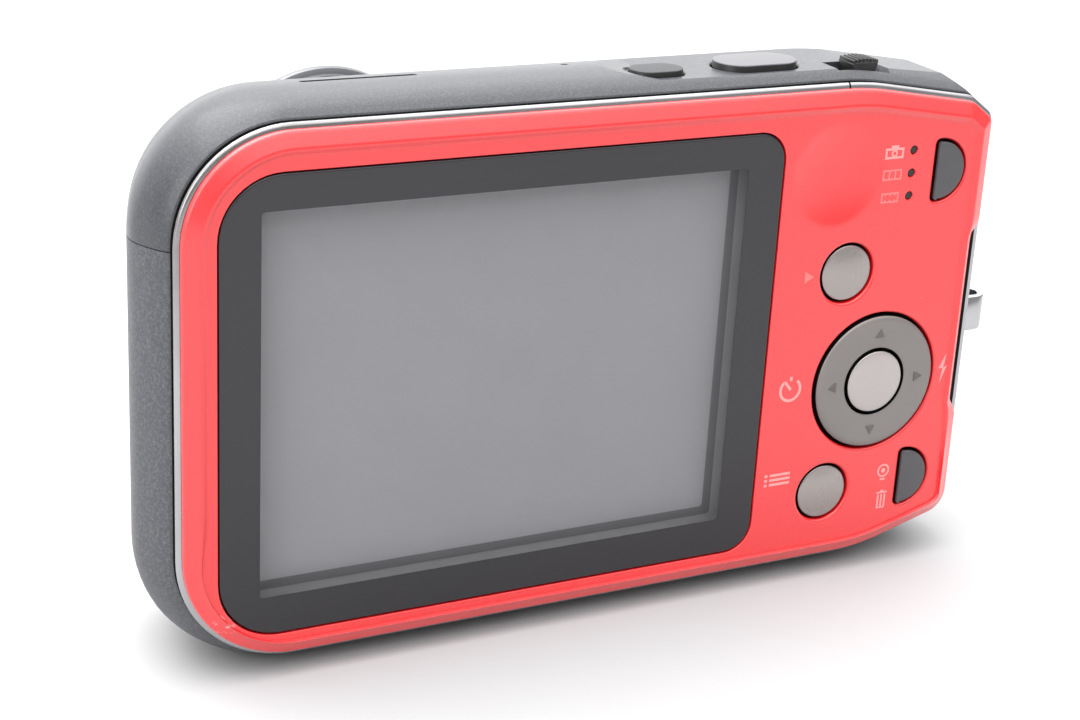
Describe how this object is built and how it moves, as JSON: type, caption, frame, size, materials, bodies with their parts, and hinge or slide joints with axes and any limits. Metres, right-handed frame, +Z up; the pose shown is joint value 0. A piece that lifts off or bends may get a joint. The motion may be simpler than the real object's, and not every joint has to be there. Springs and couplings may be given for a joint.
{
  "type": "compact digital camera",
  "caption": "Slim compact digital camera with a folded zoom lens, rear screen and keys, top shutter and zoom lever, bottom door, tripod socket and strap lug.",
  "frame": {"origin": "bottom centre of the whole camera, on the surface it stands on", "axes": "+X to the right of the person holding it, +Y the way the lens looks (the screen faces -Y), +Z up"},
  "size_m": [0.104, 0.0226, 0.0619],
  "materials": {
    "red_paint": "satin metallic paint",
    "red_paint_front": "satin metallic paint",
    "bright_trim": "polished edge",
    "lug_steel": "polished",
    "screen_glass": "gloss, printed black border",
    "display": "switched off, smooth",
    "diffuser": "white diffuser",
    "black_plastic": "fine matte",
    "chassis_metal": "stamped",
    "rubber": "matte",
    "seal_rubber": "silicone",
    "circuit_board": "solder mask",
    "light_guide": "dark, unlit",
    "half_round_keys": "satin",
    "round_keys": "satin metallic",
    "ring_plastic": "satin metallic",
    "centre_key": "satin metallic",
    "rocker_metal": "stamped",
    "shell_satin": "satin charcoal",
    "shell_texture": "fine grain charcoal",
    "lens_ring_metal": "spun rings",
    "lens_glass": "coated",
    "power_key": "satin",
    "shutter_key": "satin",
    "lever_black": "ribbed",
    "flash_lens": "ribbed diffuser",
    "reflector_metal": "mirror",
    "tube_glass": "clear",
    "capacitor_sleeve": "shrink sleeve",
    "lamp_lens": "translucent",
    "screw_brass": "turned",
    "sensor": "coated",
    "battery_wrap": "shrink label, blank",
    "catch_plastic": "moulded",
    "card_plastic": "moulded",
    "socket_metal": "nickel plated"
  },
  "bodies": {
    "camera": {"rear_cover": "red_paint", "trim_frame": "bright_trim", "screen_glass": "screen_glass", "lcd_bezel": "black_plastic", "lcd_panel": "display", "backlight": "diffuser", "chassis": "chassis_metal", "key_mat": "rubber", "key_board": "circuit_board", "key_domes": "chassis_metal", "mode_lights": "light_guide", "top_cover": "shell_satin", "side_cover": "shell_texture", "front_shell": "shell_texture", "front_plate": "red_paint_front", "lens_ring": "lens_ring_metal", "lens_window": "lens_glass", "lever_bracket": "chassis_metal", "switch_board": "circuit_board", "speaker": "black_plastic", "microphone": "chassis_metal", "flash_window": "flash_lens", "flash_reflector": "reflector_metal", "flash_tube": "tube_glass", "flash_capacitor": "capacitor_sleeve", "af_lamp": "lamp_lens", "lens_housing": "black_plastic", "prism": "lens_glass", "guide_rods": "chassis_metal", "zoom_motor": "chassis_metal", "focus_motor": "chassis_metal", "image_sensor": "sensor", "main_board": "circuit_board", "battery_box": "black_plastic", "battery": "battery_wrap", "card_slot": "chassis_metal", "usb_socket": "chassis_metal", "tripod_socket": "socket_metal", "strap_lug": "lug_steel"},
    "mode_button": {"mode_button": "half_round_keys"},
    "playback_button": {"playback_button": "round_keys"},
    "menu_button": {"menu_button": "round_keys"},
    "help_button": {"help_button": "half_round_keys"},
    "centre_button": {"centre_button": "centre_key"},
    "ring_rocker": {"ring_rocker": "rocker_metal"},
    "control_ring": {"control_ring": "ring_plastic"},
    "power_button": {"power_button": "power_key"},
    "shutter_button": {"shutter_button": "shutter_key"},
    "zoom_lever": {"zoom_lever": "lever_black"},
    "battery_door": {"battery_door": "shell_texture", "door_seal": "seal_rubber"},
    "door_lock": {"door_lock": "lever_black"},
    "battery_catch": {"battery_catch": "catch_plastic"},
    "memory_card": {"memory_card": "card_plastic"},
    "zoom_group": {"zoom_carrier": "black_plastic", "zoom_lens": "lens_glass"},
    "focus_group": {"focus_carrier": "black_plastic", "focus_lens": "lens_glass"},
    "zoom_screw": {"zoom_screw": "screw_brass"},
    "focus_screw": {"focus_screw": "screw_brass"}
  },
  "joints": [
    {"name": "mode_press", "type": "slide", "parent": "camera", "child": "mode_button", "axis": [0, 1, 0], "range_m": [0, 0.0003], "stiffness_N_per_m": 5000},
    {"name": "playback_press", "type": "slide", "parent": "camera", "child": "playback_button", "axis": [0, 1, 0], "range_m": [0, 0.0003], "stiffness_N_per_m": 5000},
    {"name": "menu_press", "type": "slide", "parent": "camera", "child": "menu_button", "axis": [0, 1, 0], "range_m": [0, 0.0003], "stiffness_N_per_m": 5000},
    {"name": "help_press", "type": "slide", "parent": "camera", "child": "help_button", "axis": [0, 1, 0], "range_m": [0, 0.0003], "stiffness_N_per_m": 5000},
    {"name": "centre_press", "type": "slide", "parent": "camera", "child": "centre_button", "axis": [0, 1, 0], "range_m": [0, 0.0003], "stiffness_N_per_m": 5000},
    {"name": "ring_tilt_up_down", "type": "hinge", "parent": "camera", "child": "ring_rocker", "pos_m": [0.03455, -0.00885, 0.0242], "axis": [1, 0, 0], "range_deg": [-2, 2], "stiffness_Nm_per_rad": 0.27},
    {"name": "ring_tilt_left_right", "type": "hinge", "parent": "ring_rocker", "child": "control_ring", "pos_m": [0.03455, -0.00885, 0.0242], "axis": [0, 0, 1], "range_deg": [-2, 2], "stiffness_Nm_per_rad": 0.27},
    {"name": "power_press", "type": "slide", "parent": "camera", "child": "power_button", "axis": [0, 0, -1], "range_m": [0, 0.0005], "stiffness_N_per_m": 3000},
    {"name": "shutter_press", "type": "slide", "parent": "camera", "child": "shutter_button", "axis": [0, 0, -1], "range_m": [0, 0.0009], "stiffness_N_per_m": 2000},
    {"name": "zoom_lever_turn", "type": "hinge", "parent": "camera", "child": "zoom_lever", "pos_m": [0.031, -0.0059, 0.054], "axis": [0, 1, 0], "range_deg": [-13, 13], "stiffness_Nm_per_rad": 0.03},
    {"name": "door_hinge", "type": "hinge", "parent": "camera", "child": "battery_door", "pos_m": [0.0256, 0.0014, 0.00115], "axis": [0, -1, 0], "range_deg": [0, 90]},
    {"name": "door_lock_slide", "type": "slide", "parent": "battery_door", "child": "door_lock", "axis": [1, 0, 0], "range_m": [0, 0.0025]},
    {"name": "battery_catch_slide", "type": "slide", "parent": "camera", "child": "battery_catch", "axis": [1, 0, 0], "range_m": [0, 0.0022], "stiffness_N_per_m": 300},
    {"name": "card_push", "type": "slide", "parent": "camera", "child": "memory_card", "axis": [0, 0, 1], "range_m": [0, 0.001], "stiffness_N_per_m": 800},
    {"name": "zoom_slide", "type": "slide", "parent": "camera", "child": "zoom_group", "axis": [0, 0, -1], "range_m": [0, 0.01]},
    {"name": "focus_slide", "type": "slide", "parent": "camera", "child": "focus_group", "axis": [0, 0, -1], "range_m": [0, 0.003]},
    {"name": "zoom_screw_turn", "type": "hinge", "parent": "camera", "child": "zoom_screw", "pos_m": [-0.0406, 0.001, 0.03], "axis": [0, 0, 1], "range_deg": [-2, 3602]},
    {"name": "focus_screw_turn", "type": "hinge", "parent": "camera", "child": "focus_screw", "pos_m": [-0.0406, 0.001, 0.013], "axis": [0, 0, 1], "range_deg": [-2, 2162]}
  ],
  "couplings": [
    {"joint": "zoom_screw_turn", "follows": "zoom_slide", "rad_per_m": 6283.2},
    {"joint": "focus_screw_turn", "follows": "focus_slide", "rad_per_m": 12566}
  ]
}
